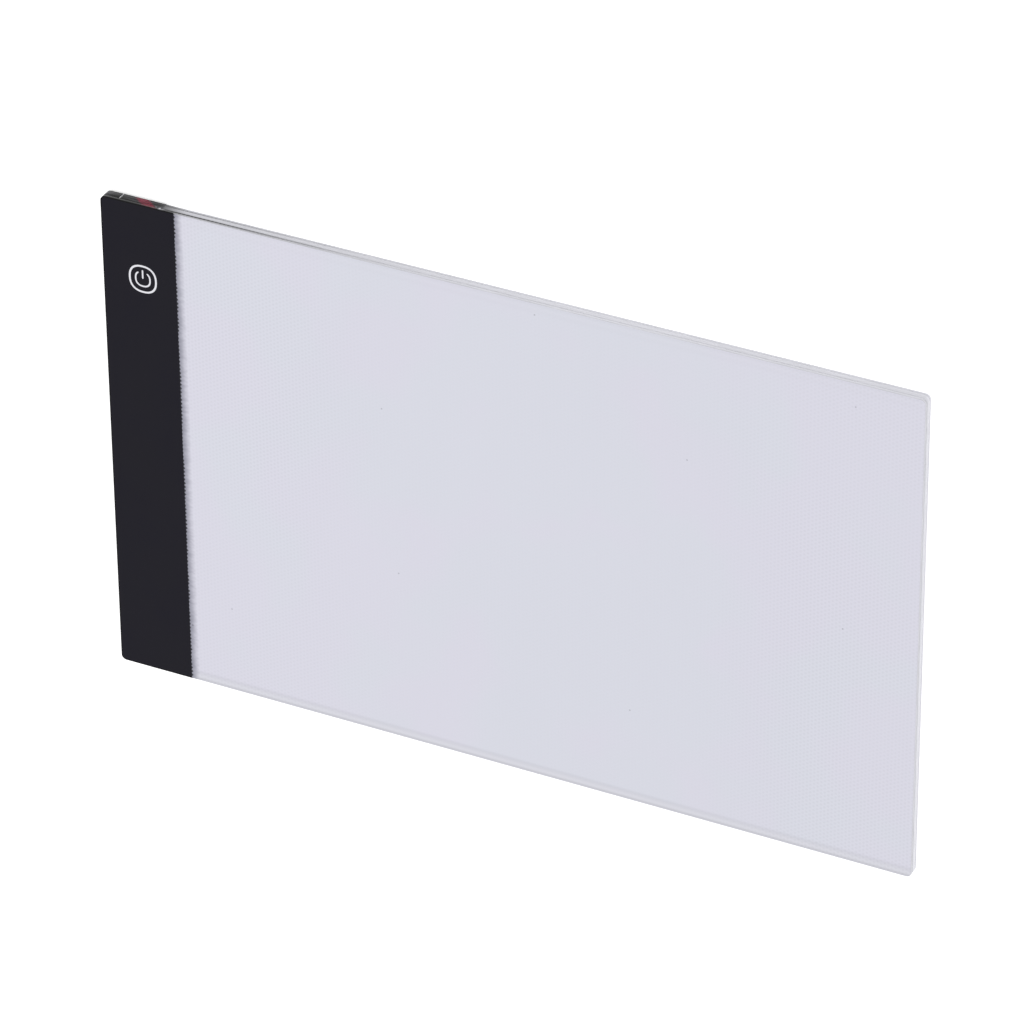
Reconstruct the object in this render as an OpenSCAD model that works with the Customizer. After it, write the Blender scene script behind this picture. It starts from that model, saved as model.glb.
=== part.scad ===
// Thin edge-lit light pad for tracing, lying flat on its feet.
// X runs along the long side, away from the black band; Y across; Z up out of the lit face.
// The origin is on the surface that the feet stand on, under the middle of the pad.

/* [Panel] */
// Length of the pad along X
panel_w = 240; // [200:1:300]
// Width of the pad along Y
panel_d = 150; // [140:1:200]
// Radius of the pad's upright corners
corner_r = 1.5; // [1:0.5:4]

/* [Sheets] */
// Thickness of the white back sheet
back_t = 0.7; // [0.7:0.05:1]
// Thickness of the reflector film, the diffuser film and their edge tapes
film_t = 0.15; // [0.15:0.05:0.3]
// Thickness of the light guide plate
guide_t = 1.5; // [1.5:0.1:2.5]
// Thickness of the clear front sheet
front_t = 0.9; // [0.5:0.1:1.5]
// Thickness of the black film on the face of the band
band_film_t = 0.1; // [0.05:0.05:0.2]
// Thickness of the black cover under the band's electronics bay
cover_t = 0.15; // [0.05:0.05:0.15]
// Width of the clear tape rim that the films stop short of
rim_w = 1.8; // [1:0.1:3]

/* [Band] */
// Length of the black band along X
band_w = 22.3; // [22:0.1:30]
// Width of the clear bar across the band's end
end_bar_w = 5.3; // [4.5:0.1:5.3]
// Width of the clear bars along the band's two sides
side_bar_w = 3; // [2:0.1:3]
// Width of each glue joint between an end bar and a side bar
glue_w = 0.3; // [0.1:0.1:0.3]

/* [Touch key] */
// Distance of the key's centre from the pad's end
key_from_end = 12.1; // [11.5:0.1:12.5]
// Distance of the key's centre from the pad's upper long edge
key_from_side = 23.1; // [20:0.1:30]
// Half-width of the printed ring, to the middle of its stroke
ring_r = 4; // [3.5:0.1:5]
// Half-width of the power arc, to the middle of its stroke
arc_r = 2.2; // [1.8:0.1:2.6]
// Stroke of the ring
ring_stroke = 0.6; // [0.5:0.05:1]
// Stroke of the arc and the bar
arc_stroke = 0.5; // [0.4:0.02:0.8]
// Squareness of ring and arc: 2 is a circle, more is squarer
squareness = 2.4; // [2:0.1:4]

/* [Lights] */
// Number of light-emitting diodes on the strip
led_count = 18; // [8:1:24]
// Length of one diode along the strip
led_len = 3; // [2:0.1:3.5]
// Height of one diode, up to the guide's thickness
led_h = 1.4; // [1:0.1:1.5]

/* [Feet] */
// Diameter of a foot
foot_d = 9; // [6:0.5:12]
// Height of a foot
foot_h = 0.9; // [0.8:0.1:1.5]
// Distance of a foot's centre from the white back sheet's edges
foot_inset = 11; // [7:1:20]

/* [Hidden] */
$fn = 64;

// Heights of the stack, from the table up
z_back = foot_h;
z_reflector = z_back + back_t;
z_guide = z_reflector + film_t;
z_diffuser = z_guide + guide_t;
z_front = z_diffuser + film_t;
z_top = z_front + front_t;
z_band_film = z_top - band_film_t;
print_t = 0.05;

// The bay under the band, between its black cover and the front sheet
z_bay = z_back + cover_t;
bay_h = z_front - z_bay;

// Places along X and Y
x_end = -panel_w / 2;
y_side = panel_d / 2;
x_band = x_end + band_w;
x_side_bar = x_end + end_bar_w + glue_w;
key_x = x_end + key_from_end;
key_y = y_side - key_from_side;

// Light strip and the guide's lit edge
strip_x = x_end + 16.5;
strip_t = 0.7;
strip_gap = 0.05;
strip_h = bay_h - 2 * strip_gap;
strip_end_gap = 3;
strip_len = panel_d - 2 * (side_bar_w + strip_end_gap);
strip_end = 4.4;
led_pitch = (strip_len - 2 * strip_end) / (led_count - 1);
led_depth = 0.9;
led_cup = 0.25;
led_wall = 0.22;
led_x = strip_x + strip_t;
led_gap = 0.3;
x_guide = led_x + led_depth + led_gap;
z_led = z_guide + guide_t / 2;
strip_resistor = [0.35, 1, 0.5];

// Power socket, centred on the touch key's height along Y
socket_w = 7.5;
socket_h = 2.25;
socket_len = 5.3;
socket_wall = 0.2;
socket_chamfer = 0.9;
socket_setback = 0.3;
socket_gap = 0.75;
socket_x = x_end + socket_setback;
socket_z = (z_bay + z_front) / 2;
socket_back_t = 1.2;
socket_in_w = socket_w - 2 * socket_wall;
socket_in_h = socket_h - 2 * socket_wall;
socket_in_chamfer = socket_chamfer - (2 - sqrt(2)) * socket_wall;
tongue_w = 4.6;
tongue_t = 0.6;
tongue_tip = 0.7;
tongue_drop = 0.1;
contact_pitch = 0.65;
contact_w = 0.4;
contact_t = 0.12;
contact_setback = 0.2;
contact_foot = [1.3, contact_w, 0.15];
tab_size = [1.2, 0.25, 0.8];

// Controller board
board_x = x_end + 5.7;
board_w = 9.5;
board_t = 0.6;
board_y = key_y - 14.5;
board_d = 24;
board_pad_t = 0.4;
board_pad_margin = 1.5;
z_board = z_bay + board_pad_t + board_t;

// Parts on the board: [along X, along Y, height]
chip_size = [1.6, 2.9, 1.1];
transistor_size = [1.3, 2.9, 1];
resistor_size = [0.8, 1.6, 0.45];
capacitor_size = [0.8, 1.6, 0.8];
leg_w = 0.4;
leg_t = 0.15;
leg_reach = 0.6;
chip_standoff = 0.1;
chip_pos = [board_x + 4.4, board_y + 6.2];
chip_leg_pitch = 0.95;
transistor_pos = [board_x + 4.4, board_y + 2.4];
resistor_pos = [[1.4, 3], [7.9, 3], [7.9, 6], [1.4, 6]];
capacitor_pos = [[7.9, 9], [1.4, 9]];

// Touch electrode and foam
electrode_d = 7.6;
electrode_t = 0.1;
foam_d = 5.6;

// Wires: nested loops of two straight legs and two round corners, on one level
wire_d = 0.8;
wire_gap = 0.2;
wire_inset = 1;
wire_z = z_board + wire_d / 2;
wire_y = board_y + board_d - wire_inset;
red_x = x_end + 7.9;
red_top = y_side - side_bar_w - wire_d / 2 - wire_gap;
red_bend = 3;
red_tail = 1.5;
red_end_y = red_top - red_bend - red_tail;
lead_x = strip_x - wire_d / 2 - wire_gap;
black_x = x_end + 9.3;
black_top = red_top - 1.5 * wire_d;
black_bend = 2.2;
black_leg_x = x_end + 14.6;
black_turn = lead_x - black_leg_x;
lead_spacing = 3;
black_end_y = red_end_y - lead_spacing;

// Solder beads
bead_r = 0.6;
bead_set = 0.4;
wide_bead_r = 0.7;

PARTS = [
    "front_sheet", "front_band_film", "power_symbol_print", "diffuser_film", "front_edge_tape",
    "light_guide_plate", "rear_edge_tape", "reflector_film", "back_sheet", "bay_cover",
    "end_bar_long", "end_bar_short", "side_bar_upper", "side_bar_lower",
    "glue_joint_upper", "glue_joint_lower", "led_strip_board", "led_phosphor", "strip_resistors",
    "red_wire", "black_wire", "wire_solder", "board_pad", "controller_board", "touch_chip",
    "touch_chip_legs", "led_transistor", "transistor_legs", "board_resistors", "board_capacitors",
    "usb_shell", "usb_insulator", "usb_contacts", "usb_solder", "touch_electrode", "touch_foam"
];
function numbered(stem, n) = str(stem, n < 10 ? "0" : "", n);
LED_NODES = [for (i = [1:led_count]) numbered("led_", i)];
FOOT_NODES = [for (i = [1:4]) str("foot_", i)];

// ---- outlines ----

// The pad's outline: a rectangle with four round corners, as exact arcs
module outline() {
    w = panel_w - 2 * corner_r;
    d = panel_d - 2 * corner_r;
    square([w, panel_d], center = true);
    square([panel_w, d], center = true);
    for (sx = [-1, 1], sy = [-1, 1])
        translate([sx * w / 2, sy * d / 2])
            circle(r = corner_r);
}

// The part of the outline between two places along X
module outline_between(x_from, x_to) {
    intersection() {
        outline();
        translate([x_from, -panel_d])
            square([x_to - x_from, 2 * panel_d]);
    }
}

// The rectangle of a film: it starts at the guide's lit edge and stops short of the other three
module film_outline() {
    translate([x_guide, -y_side + rim_w])
        square([panel_w / 2 - rim_w - x_guide, panel_d - 2 * rim_w]);
}

// A rounded square: |x|^n + |y|^n = r^n
function squircle(r) = [
    for (a = [0:7.5:359])
        r / pow(pow(abs(cos(a)), squareness) + pow(abs(sin(a)), squareness), 1 / squareness)
            * [cos(a), sin(a)]
];

module squircle_ring(r, stroke) {
    difference() {
        polygon(squircle(r + stroke / 2));
        polygon(squircle(r - stroke / 2));
    }
}

// ---- sheets and films ----

// The band's end is let down by the film's thickness, so that the whole face is flush
module front_sheet() {
    spare = 1;
    color("whitesmoke")
        translate([0, 0, z_front])
            difference() {
                linear_extrude(front_t)
                    outline();
                translate([x_end - spare, -panel_d, front_t - band_film_t])
                    cube([band_w + spare, 2 * panel_d, spare]);
            }
}

module front_band_film() {
    color([0.15, 0.145, 0.17])
        translate([0, 0, z_band_film])
            linear_extrude(band_film_t)
                outline_between(x_end, x_band);
}

// A ring round a power sign: an arc that is open at its top, and a bar through the opening
module power_symbol_print() {
    bar_foot = 0.1;
    bar_len = 1.25 * arc_r;
    gap_half = 1.6 * arc_r;
    gap_top = 2.6 * arc_r;
    color("white")
        translate([key_x, key_y, z_top])
            linear_extrude(print_t) {
                squircle_ring(ring_r, ring_stroke);
                difference() {
                    squircle_ring(arc_r, arc_stroke);
                    polygon([[0, 0], [gap_half, gap_top], [-gap_half, gap_top]]);
                }
                translate([-arc_stroke / 2, bar_foot])
                    square([arc_stroke, bar_len]);
            }
}

module diffuser_film() {
    color("ghostwhite")
        translate([0, 0, z_diffuser])
            linear_extrude(film_t)
                film_outline();
}

module reflector_film() {
    color("white")
        translate([0, 0, z_reflector])
            linear_extrude(film_t)
                film_outline();
}

module edge_tape(z) {
    color("gainsboro")
        translate([0, 0, z])
            linear_extrude(film_t)
                difference() {
                    outline_between(x_guide, panel_w / 2);
                    film_outline();
                }
}

module front_edge_tape() {
    edge_tape(z_diffuser);
}

module rear_edge_tape() {
    edge_tape(z_reflector);
}

module light_guide_plate() {
    color([0.85, 0.88, 0.92])
        translate([0, 0, z_guide])
            linear_extrude(guide_t)
                outline_between(x_guide, panel_w / 2);
}

module back_sheet() {
    color("snow")
        translate([0, 0, z_back])
            linear_extrude(back_t)
                outline_between(x_guide, panel_w / 2);
}

module bay_cover() {
    color([0.15, 0.145, 0.17])
        translate([0, 0, z_back])
            linear_extrude(cover_t)
                outline_between(x_end, x_guide);
}

// ---- clear bars round the band's bay ----

// The end bar's outline between two places along Y
module end_bar(y_from, y_to) {
    color([0.45, 0.45, 0.48])
        translate([0, 0, z_bay])
            linear_extrude(bay_h)
                intersection() {
                    outline_between(x_end, x_end + end_bar_w);
                    translate([x_end, y_from])
                        square([end_bar_w, y_to - y_from]);
                }
}

module end_bar_long() {
    end_bar(-y_side, key_y - socket_w / 2 - socket_gap);
}

module end_bar_short() {
    end_bar(key_y + socket_w / 2 + socket_gap, y_side);
}

// A block along one side of the band: side is 1 at the upper long edge and -1 at the lower
module side_block(x_from, x_to, side) {
    y_mid = side * (y_side - side_bar_w / 2);
    translate([x_from, y_mid - side_bar_w / 2, z_bay])
        cube([x_to - x_from, side_bar_w, bay_h]);
}

module side_bar_upper() {
    color([0.45, 0.45, 0.48])
        side_block(x_side_bar, x_guide, 1);
}

module side_bar_lower() {
    color([0.45, 0.45, 0.48])
        side_block(x_side_bar, x_guide, -1);
}

module glue_joint_upper() {
    color([0.75, 0.75, 0.78])
        side_block(x_end + end_bar_w, x_side_bar, 1);
}

module glue_joint_lower() {
    color([0.75, 0.75, 0.78])
        side_block(x_end + end_bar_w, x_side_bar, -1);
}

// ---- light strip ----

module led_strip_board() {
    color("white")
        translate([strip_x, -strip_len / 2, z_bay + strip_gap])
            cube([strip_t, strip_len, strip_h]);
}

function led_y(i) = (i - (led_count + 1) / 2) * led_pitch;

// One diode's white housing, with the cup that its phosphor fills
module led(i) {
    color("ivory")
        translate([led_x, led_y(i), z_led])
            difference() {
                translate([0, -led_len / 2, -led_h / 2])
                    cube([led_depth, led_len, led_h]);
                led_cup_block(1);
            }
}

// The cup in a diode's face; reach carries it out past the face
module led_cup_block(reach) {
    translate([led_depth - led_cup, -led_len / 2 + led_wall, -led_h / 2 + led_wall])
        cube([led_cup + reach, led_len - 2 * led_wall, led_h - 2 * led_wall]);
}

module led_phosphor() {
    fill_short = 0.05;
    color("gold")
        for (i = [1:led_count])
            translate([led_x, led_y(i), z_led])
                led_cup_block(-fill_short);
}

// Chip resistors between every second pair of diodes
module strip_resistors() {
    size = strip_resistor;
    color([0.12, 0.12, 0.13])
        for (i = [1:2:led_count - 1])
            translate([led_x, led_y(i) + led_pitch / 2 - size[1] / 2, z_led - size[2] / 2])
                cube(size);
}

// ---- wires ----

// A straight length of wire running along +Y
module wire_leg(x, y_from, y_to) {
    translate([x, y_from, wire_z])
        rotate([-90, 0, 0])
            cylinder(h = y_to - y_from, d = wire_d);
}

// A straight length of wire running along +X
module wire_top(x_from, x_to, y) {
    translate([x_from, y, wire_z])
        rotate([0, 90, 0])
            cylinder(h = x_to - x_from, d = wire_d);
}

// A quarter turn about [x, y], from the angle start
module wire_bend(x, y, r, start) {
    translate([x, y, wire_z])
        rotate([0, 0, start])
            rotate_extrude(angle = 90)
                translate([r, 0])
                    circle(d = wire_d);
}

module red_wire() {
    y_bend = red_top - red_bend;
    color("red") {
        wire_leg(red_x, wire_y, y_bend);
        wire_bend(red_x + red_bend, y_bend, red_bend, 90);
        wire_top(red_x + red_bend, lead_x - red_bend, red_top);
        wire_bend(lead_x - red_bend, y_bend, red_bend, 0);
        wire_leg(lead_x, red_end_y, y_bend);
    }
}

module black_wire() {
    y_bend = black_top - black_bend;
    color([0.1, 0.1, 0.1]) {
        wire_leg(black_x, wire_y, y_bend);
        wire_bend(black_x + black_bend, y_bend, black_bend, 90);
        wire_top(black_x + black_bend, black_leg_x - black_bend, black_top);
        wire_bend(black_leg_x - black_bend, y_bend, black_bend, 0);
        wire_leg(black_leg_x, black_end_y + black_turn, y_bend);
        wire_bend(lead_x, black_end_y + black_turn, black_turn, 180);
    }
}

// A ball of solder set back from a wire's end, cut off by the planes that it wets
module bead(r, set, low, high) {
    intersection() {
        translate(set)
            sphere(r = r);
        translate(low)
            cube(high - low);
    }
}

// Two beads on the board in front of the wires' ends, and two on the strip's back
module wire_solder() {
    reach = 2 * wide_bead_r;
    lead_gap = strip_x - lead_x;
    color("silver") {
        for (x = [red_x, black_x])
            translate([x, wire_y, z_board])
                bead(bead_r, [0, -bead_set, 0], [-reach, -reach, 0], [reach, 0, reach]);
        translate([strip_x, red_end_y, wire_z])
            bead(bead_r, [0, -bead_set, 0], [-reach, -reach, -reach], [0, 0, reach]);
        translate([lead_x, black_end_y, wire_z])
            bead(wide_bead_r, [lead_gap, 0, 0], [0, -reach, -reach], [lead_gap, reach, reach]);
    }
}

// ---- controller ----

// Soft pad that holds the board off the cover
module board_pad() {
    margin = board_pad_margin;
    color("dimgray")
        translate([board_x + margin, board_y + margin, z_bay])
            cube([board_w - 2 * margin, board_d - 2 * margin, board_pad_t]);
}

module controller_board() {
    color("darkgreen")
        translate([board_x, board_y, z_board - board_t])
            cube([board_w, board_d, board_t]);
}

// A block standing on the board, centred on pos
module on_board(pos, size, lift = 0) {
    translate([pos[0] - size[0] / 2, pos[1] - size[1] / 2, z_board + lift])
        cube(size);
}

// A row of legs on one side of a chip: side is 1 or -1 along X, at the given places along Y
module legs(pos, body, side, places) {
    knee = body[2] / 2;
    for (y = places)
        translate([pos[0], pos[1] + y, z_board])
            mirror([side < 0 ? 1 : 0, 0, 0])
                translate([body[0] / 2, -leg_w / 2, 0]) {
                    translate([leg_t, 0, 0])
                        cube([leg_reach - leg_t, leg_w, leg_t]);
                    translate([leg_t, 0, 0])
                        cube([leg_t, leg_w, knee]);
                    translate([0, 0, knee - leg_t])
                        cube([2 * leg_t, leg_w, leg_t]);
                }
}

module touch_chip() {
    color([0.14, 0.14, 0.15])
        on_board(chip_pos, chip_size - [0, 0, chip_standoff], chip_standoff);
}

module touch_chip_legs() {
    places = [for (k = [-1:1]) k * chip_leg_pitch];
    color("silver") {
        legs(chip_pos, chip_size, 1, places);
        legs(chip_pos, chip_size, -1, places);
    }
}

module led_transistor() {
    color([0.14, 0.14, 0.15])
        on_board(transistor_pos, transistor_size - [0, 0, chip_standoff], chip_standoff);
}

module transistor_legs() {
    color("silver") {
        legs(transistor_pos, transistor_size, 1, [0]);
        legs(transistor_pos, transistor_size, -1, [-chip_leg_pitch, chip_leg_pitch]);
    }
}

module board_resistors() {
    color([0.12, 0.12, 0.13])
        for (p = resistor_pos)
            on_board([board_x + p[0], board_y + p[1]], resistor_size);
}

module board_capacitors() {
    color("tan")
        for (p = capacitor_pos)
            on_board([board_x + p[0], board_y + p[1]], capacitor_size);
}

// ---- power socket ----

// The socket's profile seen along X: a rectangle with its two lower corners cut off
module socket_profile(w, h, c) {
    polygon([
        [-w / 2, h / 2], [-w / 2, -h / 2 + c], [-w / 2 + c, -h / 2],
        [w / 2 - c, -h / 2], [w / 2, -h / 2 + c], [w / 2, h / 2]
    ]);
}

// Carry a profile along +X from x, centred on the socket
module along_x(x, length) {
    translate([x, key_y, socket_z])
        rotate([90, 0, 90])
            linear_extrude(length)
                children();
}

// The tabs stand on the board, one each side of the contacts
module usb_shell() {
    color("silver") {
        along_x(socket_x, socket_len)
            difference() {
                socket_profile(socket_w, socket_h, socket_chamfer);
                socket_profile(socket_in_w, socket_in_h, socket_in_chamfer);
            }
        for (s = [-1, 1])
            translate([socket_x + socket_len, key_y, z_board])
                mirror([0, s > 0 ? 0 : 1, 0])
                    translate([0, socket_w / 2 - tab_size[1], 0])
                        cube(tab_size);
    }
}

module usb_insulator() {
    color([0.1, 0.1, 0.1]) {
        along_x(socket_x + socket_len - socket_back_t, socket_back_t)
            socket_profile(socket_in_w, socket_in_h, socket_in_chamfer);
        translate([socket_x + tongue_tip, key_y - tongue_w / 2, socket_z - tongue_drop])
            cube([socket_len - socket_back_t - tongue_tip, tongue_w, tongue_t]);
    }
}

// Five contacts lie under the tongue; each comes out of the back onto the board
module usb_contacts() {
    start = tongue_tip + contact_setback;
    inside_len = socket_len - socket_back_t - start;
    color("gold")
        for (k = [-2:2])
            translate([socket_x, key_y + k * contact_pitch - contact_w / 2, 0]) {
                translate([start, 0, socket_z - tongue_drop - contact_t])
                    cube([inside_len, contact_w, contact_t]);
                translate([socket_len, 0, z_board])
                    cube(contact_foot);
            }
}

// A fillet of solder along the outside of each tab
module usb_solder() {
    fillet = 0.45;
    fillet_len = 0.8;
    color("silver")
        for (s = [-1, 1])
            translate([socket_x + socket_len + tab_size[0] / 2, key_y + s * socket_w / 2, z_board])
                mirror([0, s > 0 ? 0 : 1, 0])
                    rotate([90, 0, 90])
                        linear_extrude(fillet_len, center = true)
                            polygon([[0, 0], [fillet, 0], [0, fillet]]);
}

// ---- touch key ----

module touch_electrode() {
    color("peru")
        translate([key_x, key_y, z_front - electrode_t])
            cylinder(h = electrode_t, d = electrode_d);
}

module touch_foam() {
    color("dimgray")
        translate([key_x, key_y, z_board])
            cylinder(h = z_front - electrode_t - z_board, d = foam_d);
}

// ---- feet ----

foot_x_near = x_guide + foot_inset;
foot_x_far = panel_w / 2 - foot_inset;
foot_y = y_side - foot_inset;
FOOT_POS = [
    [foot_x_near, foot_y], [foot_x_near, -foot_y],
    [foot_x_far, foot_y], [foot_x_far, -foot_y]
];

// A flat disc whose lower edge is drawn in by a cone
module foot(i) {
    edge = 0.3;
    color([0.8, 0.82, 0.84])
        translate([FOOT_POS[i - 1][0], FOOT_POS[i - 1][1], 0]) {
            translate([0, 0, edge])
                cylinder(h = foot_h - edge, d = foot_d);
            cylinder(h = edge, d1 = foot_d - 2 * edge, d2 = foot_d);
        }
}

front_sheet();
front_band_film();
power_symbol_print();
diffuser_film();
front_edge_tape();
light_guide_plate();
rear_edge_tape();
reflector_film();
back_sheet();
bay_cover();
end_bar_long();
end_bar_short();
side_bar_upper();
side_bar_lower();
glue_joint_upper();
glue_joint_lower();
led_strip_board();
led_phosphor();
strip_resistors();
red_wire();
black_wire();
wire_solder();
board_pad();
controller_board();
touch_chip();
touch_chip_legs();
led_transistor();
transistor_legs();
board_resistors();
board_capacitors();
usb_shell();
usb_insulator();
usb_contacts();
usb_solder();
touch_electrode();
touch_foam();
for (i = [1:led_count]) led(i);
for (i = [1:4]) foot(i);
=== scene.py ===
import math

import bpy
import numpy as np
from mathutils import Matrix, Vector


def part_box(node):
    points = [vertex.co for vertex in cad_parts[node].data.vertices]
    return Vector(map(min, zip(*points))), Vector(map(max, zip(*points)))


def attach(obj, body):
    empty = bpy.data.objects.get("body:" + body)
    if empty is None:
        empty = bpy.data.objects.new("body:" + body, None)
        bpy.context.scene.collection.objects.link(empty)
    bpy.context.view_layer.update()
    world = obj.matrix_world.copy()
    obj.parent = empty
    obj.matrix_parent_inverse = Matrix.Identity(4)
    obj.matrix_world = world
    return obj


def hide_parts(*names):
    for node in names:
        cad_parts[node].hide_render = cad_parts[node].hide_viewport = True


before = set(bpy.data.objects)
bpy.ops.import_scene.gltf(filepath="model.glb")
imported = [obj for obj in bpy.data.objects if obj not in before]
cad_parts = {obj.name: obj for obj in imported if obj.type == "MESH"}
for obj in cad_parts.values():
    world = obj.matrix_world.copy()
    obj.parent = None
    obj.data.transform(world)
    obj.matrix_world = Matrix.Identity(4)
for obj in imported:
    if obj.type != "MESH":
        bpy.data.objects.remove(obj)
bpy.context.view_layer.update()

MM = 0.001
FULL_TURN = 2 * math.pi

# ---- places, from the frame ----

PANEL_LOW, PANEL_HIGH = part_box("front_sheet")
BAND_LOW, BAND_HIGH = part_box("front_band_film")
PRINT_LOW, PRINT_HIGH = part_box("power_symbol_print")
GUIDE_LOW, GUIDE_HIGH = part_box("light_guide_plate")
BOARD_LOW, BOARD_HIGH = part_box("controller_board")
SHELL_LOW, SHELL_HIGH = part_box("usb_shell")
X_END = PANEL_LOW.x
X_BAND = BAND_HIGH.x
HALF_WIDTH = PANEL_HIGH.x
HALF_DEPTH = PANEL_HIGH.y
CORNER = 1.5 * MM
SHEET_EASE = 0.16 * MM
BAR_EASE = 0.08 * MM
FILM_EASE = 0.03 * MM


def level_middle(node):
    """Middle of a node's box, as (x, y)."""
    low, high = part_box(node)
    return (low.x + high.x) / 2, (low.y + high.y) / 2


# ---- the camera and the light ----

AIM = Vector((2.27, 8.22, 4.3)) * MM
AZIMUTH = math.radians(55.62)
ELEVATION = math.radians(48.64)
ROLL = math.radians(-138.12)
DISTANCE = 1.767
LENS = 233.5
SKY = 0.88
FLOOR_HALF = 4.0
FLOOR_GLOW = 0.5
LAMP_POWER = 4.0
LAMP_SIZE = 1.2
LAMP_DISTANCE = 1.6
LAMP_AZIMUTH = math.radians(150)
LAMP_ELEVATION = math.radians(62)


def direction(azimuth, elevation):
    """Unit vector at an angle round from +X towards +Y, and an angle above the horizon."""
    flat = math.cos(elevation)
    return Vector((flat * math.cos(azimuth), flat * math.sin(azimuth), math.sin(elevation)))


def add_camera():
    """A long lens on the side of the pad's lit face, rolled about its own axis."""
    data = bpy.data.cameras.new("camera")
    data.lens = LENS
    camera = bpy.data.objects.new("camera", data)
    back = direction(AZIMUTH, ELEVATION)
    level = Vector((0, 0, 1)).cross(back).normalized()
    right = Matrix.Rotation(ROLL, 3, back) @ level
    turn = Matrix((right, back.cross(right), back)).transposed().to_4x4()
    camera.matrix_world = Matrix.Translation(AIM + back * DISTANCE) @ turn
    bpy.context.scene.collection.objects.link(camera)
    bpy.context.scene.camera = camera


# ---- outlines: each is (centres, directions, radii), one entry a point ----


def rounded(corners, radii, steps=6):
    """Convex outline with round corners. A corner's arc is centred where its two sides, both moved
    in by its radius, cross; its points lie at that radius, from one side's normal to the next."""
    corners = np.array(corners, float)
    side = np.roll(corners, -1, 0) - corners
    normal = np.stack([side[:, 1], -side[:, 0]], 1) / np.linalg.norm(side, axis=1)[:, None]
    before = np.roll(normal, 1, 0)
    radii = np.broadcast_to(np.array(radii, float), len(corners))
    shift = (before + normal) / (1 + (before * normal).sum(1))[:, None]
    centres = corners - radii[:, None] * shift
    start = np.arctan2(before[:, 1], before[:, 0])
    bend = np.arctan2(before[:, 0] * normal[:, 1] - before[:, 1] * normal[:, 0],
                      (before * normal).sum(1))
    straight_on = 1e-6
    count = np.where(bend > straight_on, steps + 1, 1)
    which = np.repeat(np.arange(len(corners)), count)
    part = np.concatenate([np.linspace(0, 1, n) for n in count])
    angle = start[which] + bend[which] * part
    return centres[which], np.stack([np.cos(angle), np.sin(angle)], 1), radii[which]


def rectangle(low, high, radii, steps=6):
    """Rectangle with round corners, from its lowest corner round by the right."""
    corners = [(low[0], low[1]), (high[0], low[1]), (high[0], high[1]), (low[0], high[1])]
    return rounded(corners, radii, steps)


def circle(centre, radius, sides):
    """Circle, as an outline whose points share one centre."""
    angle = np.arange(sides) * FULL_TURN / sides
    directions = np.stack([np.cos(angle), np.sin(angle)], 1)
    return np.tile(np.array(centre, float), (sides, 1)), directions, np.full(sides, float(radius))


# ---- profiles: rows of (inset from the outline, height along the axis) ----


def eased(low, high, ease, steps=3):
    """Straight wall whose two edges are quarter rounds of the radius ease."""
    angle = np.linspace(0, math.pi / 2, steps + 1)
    foot = np.stack([ease * (1 - np.sin(angle)), low + ease * (1 - np.cos(angle))], 1)
    head = np.stack([ease * (1 - np.cos(angle)), high - ease * (1 - np.sin(angle))], 1)
    return np.concatenate([foot, head])


def mound(low, height, inset, steps=5):
    """Dome on a flat base: a quarter ellipse from the outline up to height, drawn in by inset. It
    stops short of its top, which leaves the last row a small flat."""
    angle = np.linspace(0, math.radians(86), steps + 1)
    return np.stack([inset * (1 - np.cos(angle)), low + height * np.sin(angle)], 1)


# ---- skins: each is (points, faces) ----


def strips(rows, count, closed_rows=False):
    """Quads between neighbouring rows of count points, each row a closed loop."""
    row = np.arange(rows if closed_rows else rows - 1)[:, None] * count
    above = (row + count) % (rows * count)
    here = np.arange(count)
    there = np.roll(here, -1)
    quads = [row + here, row + there, above + there, above + here]
    return np.stack(quads, -1).reshape(-1, 4).tolist()


def lofted(outline, profile, axis="z", hollow=False):
    """Outline carried through a profile: a row's points are centre + (radius - inset) * direction
    at the row's height. Two flat caps close it, or its last row meets its first if it is hollow."""
    centres, directions, radii = outline
    inset, height = np.array(profile, float).T
    reach = radii[None, :] - inset[:, None]
    flat = centres[None] + reach[..., None] * directions[None]
    points = np.concatenate([flat, np.broadcast_to(height[:, None, None], (*reach.shape, 1))], 2)
    points = np.roll(points, {"z": 0, "x": 1, "y": 2}[axis], axis=2)
    rows, count = reach.shape
    faces = strips(rows, count, hollow)
    if not hollow:
        last = (rows - 1) * count
        faces += [list(range(count))[::-1], list(range(last, last + count))]
    return points.reshape(-1, 3), faces


def swept(path, wide, tall, sides=12, closed=False, flat_foot=False, phase=0.0, taper=0):
    """Oval section carried along a path: a point is path + wide * cos * side + tall * sin * up,
    where side lies level across the path. taper rounds the ends off over that many rows."""
    path = np.array(path, float)
    if closed:
        along = np.roll(path, -1, 0) - np.roll(path, 1, 0)
    else:
        along = np.gradient(path, axis=0)
    along /= np.linalg.norm(along, axis=1)[:, None]
    side = np.cross(along, (0, 0, 1))
    side /= np.linalg.norm(side, axis=1)[:, None]
    up = np.cross(side, along)
    size = np.ones(len(path))
    if taper:
        blunt = 0.96
        size[:taper] = np.sqrt(1 - np.linspace(blunt, 0, taper) ** 2)
        size[-taper:] = size[:taper][::-1]
    angle = np.arange(sides) * FULL_TURN / sides + phase
    lift = np.maximum(np.sin(angle), 0) if flat_foot else np.sin(angle)
    points = (path[:, None] + (size[:, None] * wide * np.cos(angle))[..., None] * side[:, None]
              + (size[:, None] * tall * lift)[..., None] * up[:, None])
    rows = len(path)
    faces = [quad[::-1] for quad in strips(rows, sides, closed)]
    if not closed:
        last = (rows - 1) * sides
        faces += [list(range(sides)), list(range(last, last + sides))[::-1]]
    return points.reshape(-1, 3), faces


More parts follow.
